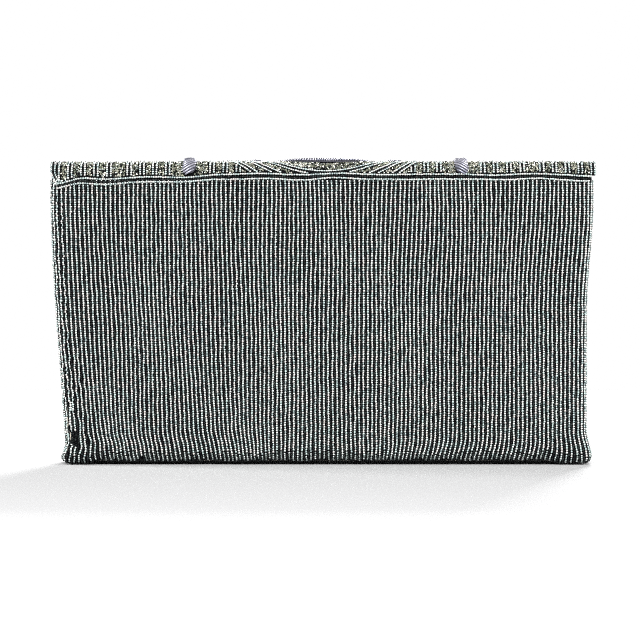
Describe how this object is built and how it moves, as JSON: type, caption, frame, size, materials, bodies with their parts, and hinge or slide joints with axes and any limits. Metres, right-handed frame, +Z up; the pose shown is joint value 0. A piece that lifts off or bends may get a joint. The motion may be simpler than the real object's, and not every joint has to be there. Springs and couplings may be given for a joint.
{
  "type": "clutch purse",
  "caption": "Beaded evening clutch with a fold-over flap, magnetic snap, V-folded sides, satin lining and an inner slip pocket; it stands on its flat base",
  "frame": {"origin": "on the floor, at the middle of the bag's width and depth", "axes": "+X along the width, +Y out of the back wall, +Z up; the flap covers the front, which faces -Y"},
  "size_m": [0.2494, 0.0362, 0.1406],
  "materials": {
    "beaded_cloth": "dark cloth closely sewn with silver and gunmetal glass beads in columns",
    "silver_beads": "silver-lined glass seed beads strung on thread",
    "band_beads": "lilac-grey glass beads laid slantwise over a padded core",
    "stiffener": "plain bag stiffener board",
    "satin": "silver-grey satin with a soft sheen",
    "binding": "black grosgrain ribbon",
    "snap_metal": "nickel-plated pressed steel",
    "magnet": "dark ferrite ring magnet"
  },
  "bodies": {
    "root": {"back_panel": "beaded_cloth", "back_board": "stiffener", "back_lining": "satin", "front_panel": "beaded_cloth", "front_board": "stiffener", "front_lining": "satin", "mouth_binding": "binding", "base_panel": "beaded_cloth", "base_board": "stiffener", "base_lining": "satin", "gusset_right": "beaded_cloth", "gusset_lining_right": "satin", "gusset_left": "beaded_cloth", "gusset_lining_left": "satin", "slip_pocket": "satin", "pocket_binding": "binding", "seam_string": "silver_beads", "snap_cup": "snap_metal", "snap_magnet": "magnet", "socket_plate": "snap_metal", "socket_washer": "snap_metal"},
    "flap": {"flap_panel": "beaded_cloth", "flap_interlining": "stiffener", "flap_lining": "satin", "trim_ring": "band_beads", "trim_swag": "band_beads", "flap_string": "silver_beads", "edge_string": "silver_beads", "snap_stud": "snap_metal", "stud_washer": "snap_metal"}
  },
  "joints": [
    {"name": "flap_hinge", "type": "hinge", "parent": "root", "child": "flap", "pos_m": [0, 0.01735, 0.13075], "axis": [-1, 0, 0], "range_deg": [0, 150]}
  ]
}
